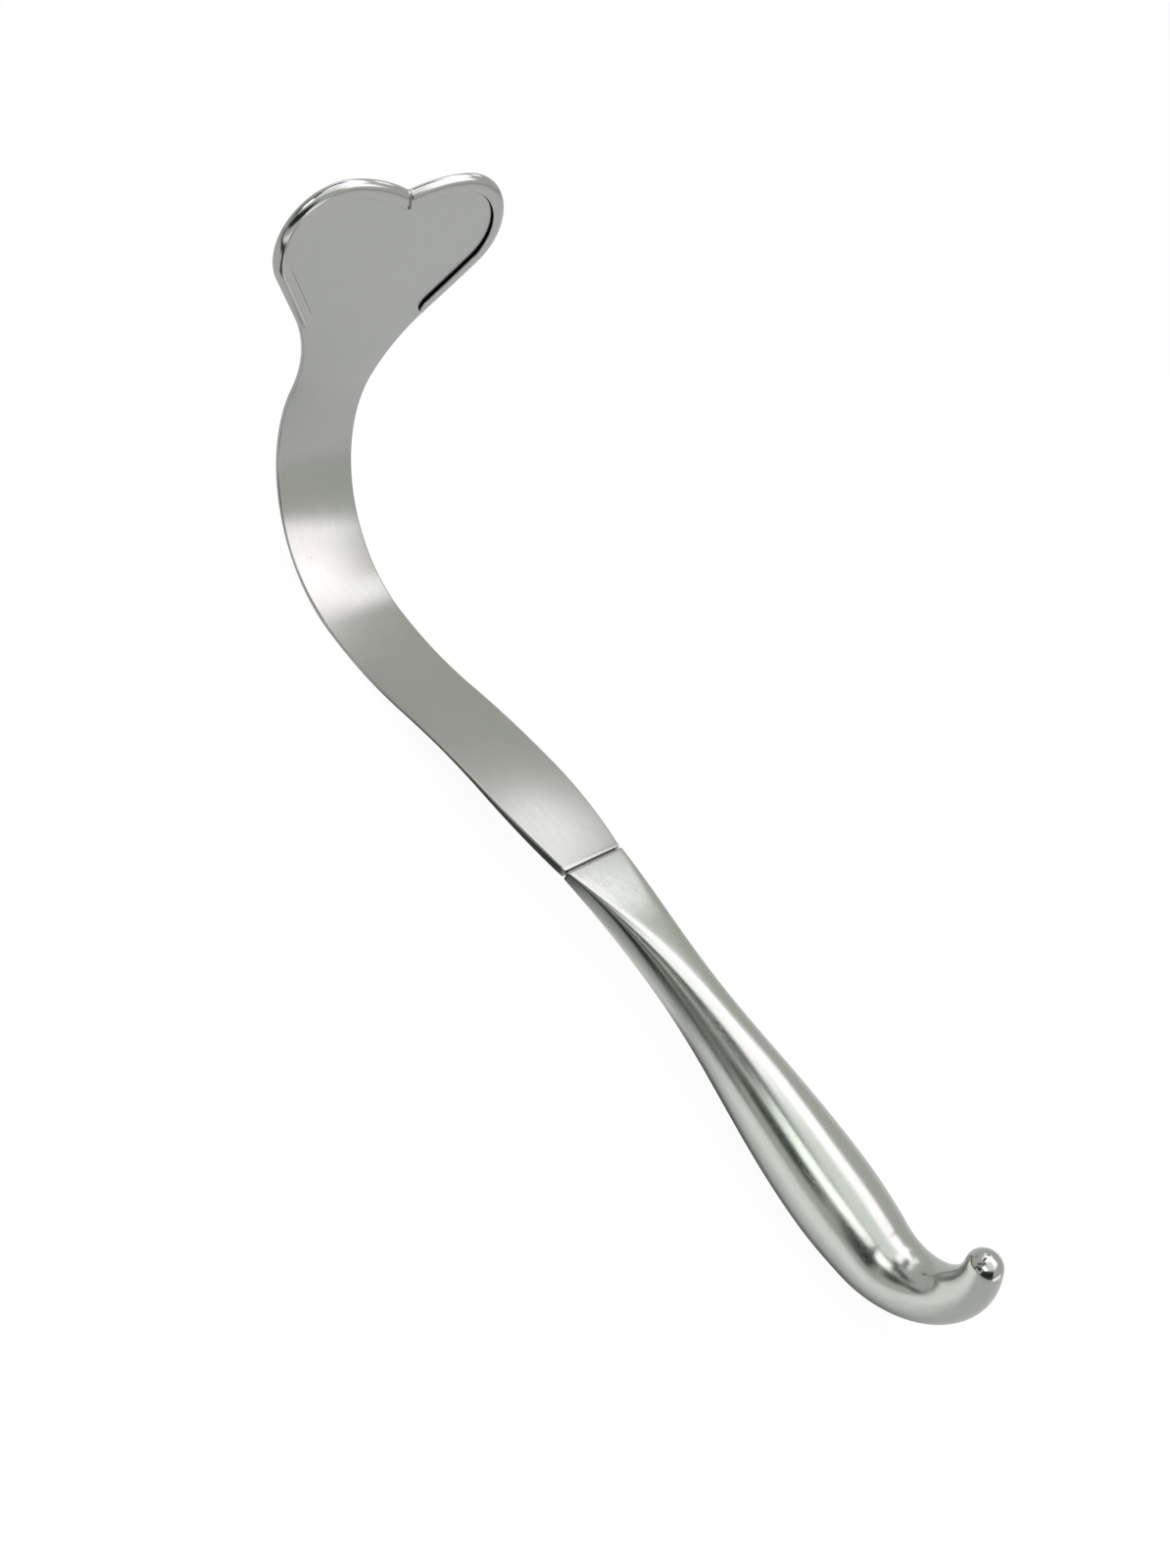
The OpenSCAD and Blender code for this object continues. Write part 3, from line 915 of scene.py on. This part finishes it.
class SPATULA_OT_grip(bpy.types.Operator):
    """Lofts the hollow grip from its mouth to its hook"""

    bl_idname = "spatula.grip"
    bl_label = "Grip"

    def execute(self, context):
        """Makes the grip and puts it over its CAD node."""
        grip, strap = context.scene.spatula_grip, context.scene.spatula_strap
        form, view = GripForm(grip, strap), grip_view(grip)

        def ring(s, inset, seam):
            tip = smooth((s - form.end) / grip.tip + POLISH_LEAD)
            points = []
            for x, h in form.section(s, inset):
                points.append((grip_point(view, strap, x, s, h), (x, s, h), (seam, tip)))
            return points

        loft = Loft(("seam", "tip"))
        closed = loft.start(AROUND)
        loft.put(ring(grip.mouth_depth, grip.wall, 1.0))
        cuts = [
            (grip.mouth_depth / 2, grip.wall, MOUTH_SHADE),
            (grip.groove + MOUTH_STEP, grip.wall, MOUTH_SHADE),
            (grip.groove, grip.wall - MOUTH_CHAMFER, MOUTH_RIM_SHADE),
            (grip.groove, END_CHAMFER, 0.0),
            (grip.groove + END_CHAMFER, 0.0, 0.0),
        ]
        cuts += [(s, 0.0, 0.0) for s in steps(grip.groove, form.end, GRIP_CUTS)]
        for s, inset, seam in cuts:
            loft.pull()
            loft.put(ring(s, inset, seam))
        radius = grip.tip / 2
        for rise in steps(0, math.pi / 2, DOME_CUTS)[:-1]:
            points = []
            for t in around():
                x = radius * math.cos(rise) * math.cos(t)
                h = radius * math.cos(rise) * math.sin(t)
                s = form.end + radius * math.sin(rise)
                points.append((grip_point(view, strap, x, s, h), (x, s, h), (0.0, 1.0)))
            loft.pull()
            loft.put(points)
        bmesh.ops.holes_fill(loft.bm, edges=closed, sides=0)
        tip = bmesh.ops.holes_fill(loft.bm, edges=loft.ring, sides=0)["faces"]
        bmesh.ops.poke(loft.bm, faces=tip)
        piece = loft.finish("grip_steel")
        piece.data.materials.append(polished_steel(context.scene.spatula_steel))
        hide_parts("handle")
        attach(piece, "root")
        return {"FINISHED"}


def glowing(name, colour_of, strength, edges):
    """An emitting card that fades out towards its edges, each edge being a share of its side."""
    finish = Finish(name)
    place = finish.node("ShaderNodeTexCoord", {}, output="UV")
    shown = 1.0
    for axis, edge in zip("XY", edges):
        off = finish.node("ShaderNodeSeparateXYZ", {0: place}, output=axis) - 0.5
        shown = (0.5 - abs(off)).above(0, edge) * shown
    clear = finish.node("ShaderNodeBsdfTransparent", {})
    glow = finish.node("ShaderNodeEmission", {"Color": (*colour_of, 1.0), "Strength": strength})
    finish.show(finish.mix_shaders(shown, clear, glow))
    return finish.material


def sheet(name, width, height, matrix):
    """A flat sheet of the studio, placed in its mesh."""
    bm = bmesh.new()
    bm.loops.layers.uv.new("flat")
    bmesh.ops.create_grid(bm, x_segments=1, y_segments=1, size=0.5, calc_uvs=True)
    bmesh.ops.scale(bm, vec=(width, height, 1), verts=bm.verts)
    bmesh.ops.transform(bm, matrix=matrix, verts=bm.verts)
    mesh = bpy.data.meshes.new(name)
    bm.to_mesh(mesh)
    bm.free()
    made = bpy.data.objects.new(name, mesh)
    bpy.context.collection.objects.link(made)
    return made


def reflected_only(made):
    """Leaves a card to the reflections in the steel."""
    made.visible_camera = made.visible_diffuse = made.visible_shadow = False
    made.visible_transmission = made.visible_volume_scatter = False


# Whiteness added to the floor, and its share for the camera and for mirrored and passed light
FLOOR_WHITE = 1.03
FLOOR_SEEN = 0.93
FLOOR_MIRRORED = 0.15


def pale_floor(studio):
    """Floor that the camera sees as white but for a soft shadow."""
    finish = Finish("pale_floor", Roughness=0.9, Specular_IOR_Level=0.0)
    finish.shader.inputs["Base Color"].default_value = (*studio.floor, 1.0)
    white = finish.node("ShaderNodeEmission", {"Color": WHITE, "Strength": FLOOR_WHITE})
    lit = Tone(finish, finish.shader.outputs[0])
    mirrored = finish.ray("Is Glossy Ray") + finish.ray("Is Transmission Ray")
    shown = finish.ray("Is Camera Ray") * FLOOR_SEEN + mirrored * FLOOR_MIRRORED
    finish.show(finish.mix_shaders(shown, lit, white))
    return finish.material


# Ways that the cards face, and colours that they share
DOWN, UP, FROM_BEHIND = (0, 0, -1), (0, 0, 1), (0, -1, 0)
ROSE_WHITE, COLD_WHITE = (1.0, 0.96, 0.98), (1.0, 0.985, 0.99)
CREAM, DARK, DARKER = (1.0, 1.0, 0.97), (0.05, 0.06, 0.055), (0.03, 0.05, 0.04)


class SPATULA_OT_stage(bpy.types.Operator):
    """Sets up the floor, the lights and the camera"""

    bl_idname = "spatula.stage"
    bl_label = "Stage"

    camera_place = (-0.11634, 0.25666, 0.32960)
    camera_right = (-0.5857, -0.7198, 0.3726)
    camera_up = (0.7477, -0.3022, 0.5913)
    camera_back = (-0.3130, 0.6249, 0.7152)
    softbox_place = (-0.005, -0.175, 0.62)
    softbox_size = (1.31, 0.68)
    softbox_turn = math.radians(12)
    softbox_edges = (0.20, 0.16)
    floor_side = 8.0
    # The floor lies this far under the part, so that the two never touch
    floor_drop = 0.02 * MM
    # Millimetres on the camera's sensor, and metres to the nearest thing that it shows
    sensor_height = 36.0
    nearest_seen = 0.01
    # Cards that only the steel mirrors: name, colour, brightness, place, facing, width and
    # height, soft edges as shares of both
    cards = (
        ("window_card", (0.95, 1.0, 0.93), 2.5, (-0.20, 0.50, 0.60), DOWN, (0.48, 0.42),
         (0.16, 0.16)),
        ("side_card", COLD_WHITE, 2.2, (0.195, -0.235, 0.30), DOWN, (0.15, 0.12), (0.25, 0.20)),
        ("far_side_card", COLD_WHITE, 1.3, (0.20, -0.30, 0.302), DOWN, (0.14, 0.09), (0.30, 0.30)),
        ("middle_card", ROSE_WHITE, 2.8, (0.04, -0.31, 0.615), DOWN, (0.60, 0.24), (0.35, 0.35)),
        ("crown_card", (1.0, 0.97, 0.98), 2.2, (-0.072, -0.168, 0.27), (0.77, 0.64, -0.45),
         (0.22, 0.13), (0.25, 0.25)),
        ("corner_card", (0.96, 1.0, 0.95), 1.25, (-0.25, 0.08, 0.61), DOWN, (0.56, 0.46),
         (0.20, 0.20)),
        ("low_card", (1.0, 0.99, 0.98), 1.8, (-0.45, -0.08, 0.04), (1, 0.25, 0), (0.28, 0.11),
         (0.20, 0.20)),
        # Painted light: a glowing patch on the floor beside the grip, seen only in reflections
        ("floor_light_card", CREAM, 1.25, (-0.11, 0.131, 0.001), UP, (0.13, 0.238), (0.25, 0.09)),
        # Painted shadow on the floor under the grip, seen only in the steel's reflection
        ("contact_shadow_card", (0.10, 0.12, 0.10), 1.0, (-0.10, 0.003, 0.0015), UP, (0.13, 0.022),
         (0.30, 0.30)),
        # Painted light: a glowing strip on the floor by the grip's mouth, seen only in reflections
        ("light_foot", CREAM, 0.95, (-0.03, 0.011, 0.0012), UP, (0.06, 0.02), (0.20, 0.20)),
        # Painted shadow of the grip on the floor towards the camera, seen only in reflections
        ("grip_shadow_card", DARKER, 1.0, (-0.015, 0.174, 0.002), UP, (0.09, 0.312), (0.30, 0.05)),
        # Painted shadow on the floor beside the strap, seen only in reflections
        ("strap_shadow_card", (0.10, 0.11, 0.105), 1.0, (0.042, 0.031, 0.0012), UP, (0.104, 0.04),
         (0.10, 0.20)),
        ("dark_post", (0.06, 0.08, 0.07), 1.0, (0.14, 0.32, 0.38), FROM_BEHIND, (0.22, 0.52),
         (0.30, 0.30)),
        ("dark_corner", DARK, 1.0, (0.255, 0.025, 0.60), DOWN, (0.25, 0.49), (0.25, 0.25)),
        ("dark_ceiling", DARK, 1.0, (-0.02, 0.40, 0.66), DOWN, (0.40, 0.44), (0.10, 0.10)),
        ("dark_rail", DARKER, 1.0, (-0.065, 0.32, 0.18), FROM_BEHIND, (0.18, 0.17), (0.22, 0.15)),
        ("dark_leg", DARKER, 1.0, (0.035, 0.32, 0.07), FROM_BEHIND, (0.09, 0.28), (0.20, 0.20)),
        ("dark_left", (0.03, 0.04, 0.035), 1.0, (-0.31, 0.24, 0.175), (0.45, -0.21, -0.10),
         (0.50, 0.27), (0.10, 0.10)),
    )

    def execute(self, context):
        """Makes the studio."""
        studio = context.scene.spatula_studio
        below = Matrix.Translation((0, 0, -self.floor_drop))
        floor = sheet("floor", self.floor_side, self.floor_side, below)
        floor.data.materials.append(pale_floor(studio))
        self.light_softbox(context, studio)
        self.hang_cards(studio)
        self.light_room(context, studio)
        self.place_camera(context, studio)
        context.scene.view_settings.view_transform = "Standard"
        return {"FINISHED"}

    def light_softbox(self, context, studio):
        """One large softbox overhead."""
        lamp = bpy.data.lights.new("softbox", "AREA")
        lamp.shape = "RECTANGLE"
        lamp.size, lamp.size_y = self.softbox_size
        lamp.energy = studio.softbox_power
        lamp.color = COLD_WHITE
        made = bpy.data.objects.new("softbox", lamp)
        made.location = self.softbox_place
        made.rotation_euler.z = self.softbox_turn
        made.visible_glossy = False
        context.collection.objects.link(made)

    def hang_cards(self, studio):
        """The softbox, a window, dark things by the camera and painted light and shadow on the
        floor, as the steel mirrors them.
        """
        self.hang_card("softbox_card", ROSE_WHITE, studio.softbox_glow, self.softbox_place, DOWN,
                       self.softbox_size, self.softbox_edges, self.softbox_turn)
        for card in self.cards:
            self.hang_card(*card)

    def hang_card(self, name, colour_of, strength, place, facing, size, edges, turn=0.0):
        """Hangs one card, turned about the upright."""
        aim = Vector(facing).to_track_quat("Z", "Y").to_matrix().to_4x4()
        aim = Matrix.Rotation(turn, 4, "Z") @ aim
        made = sheet(name, *size, Matrix.Translation(place) @ aim)
        made.data.materials.append(glowing(name, colour_of, strength, edges))
        reflected_only(made)

    def light_room(self, context, studio):
        """Pale walls all round, which the camera sees as white."""
        world = bpy.data.worlds.new("room")
        context.scene.world = world
        world.use_nodes = True
        room = Nodes(world.node_tree)
        mirrored = {0: room.ray("Is Glossy Ray"), 1: room.ray("Is Transmission Ray")}
        mirrored = room.node("ShaderNodeMath", mirrored, operation="MAXIMUM")
        strength = room.node(
            "ShaderNodeMapRange", {"Value": mirrored, "To Min": studio.room_light, "To Max": 1.0}
        )
        walls = room.node(
            "ShaderNodeBackground", {"Color": (*studio.room, 1.0), "Strength": strength}
        )
        white = room.node("ShaderNodeBackground", {"Color": WHITE})
        shown = room.mix_shaders(room.ray("Is Camera Ray"), walls, white)
        room.show(shown, "World Output")

    def place_camera(self, context, studio):
        """The photograph's point of view."""
        lens = bpy.data.cameras.new("camera")
        lens.sensor_fit = "VERTICAL"
        lens.sensor_height = self.sensor_height
        lens.lens = studio.focal_length
        lens.clip_start = self.nearest_seen
        camera = bpy.data.objects.new("camera", lens)
        turn = Matrix((self.camera_right, self.camera_up, self.camera_back)).transposed()
        camera.matrix_world = Matrix.Translation(self.camera_place) @ turn.to_4x4()
        context.collection.objects.link(camera)
        context.scene.camera = camera


OPERATORS = (SPATULA_OT_blade, SPATULA_OT_grip, SPATULA_OT_stage)


class SPATULA_PT_panel(bpy.types.Panel):
    """Sizes and steps of the spatula"""

    bl_idname = "SPATULA_PT_panel"
    bl_label = "Spatula"
    bl_space_type = "VIEW_3D"
    bl_region_type = "UI"
    bl_category = "Spatula"

    def draw(self, context):
        """Lists the sizes and the steps."""
        for group, kind in PROPERTY_GROUPS.items():
            box = self.layout.box()
            box.label(text=kind.__doc__)
            for name in kind.__annotations__:
                box.prop(getattr(context.scene, group), name)
        for operator in OPERATORS:
            self.layout.operator(operator.bl_idname)


CLASSES = (*PROPERTY_GROUPS.values(), *OPERATORS, SPATULA_PT_panel)


def register():
    """Registers the classes and hangs the sizes on the scene."""
    for kind in CLASSES:
        bpy.utils.register_class(kind)
    for group, kind in PROPERTY_GROUPS.items():
        setattr(bpy.types.Scene, group, PointerProperty(type=kind))


def unregister():
    """Takes everything away again."""
    for group in PROPERTY_GROUPS:
        delattr(bpy.types.Scene, group)
    for kind in reversed(CLASSES):
        bpy.utils.unregister_class(kind)


def main():
    """Builds the object and its stage."""
    register()
    bpy.ops.spatula.blade()
    bpy.ops.spatula.grip()
    bpy.ops.spatula.stage()


if __name__ == "__main__":
    main()
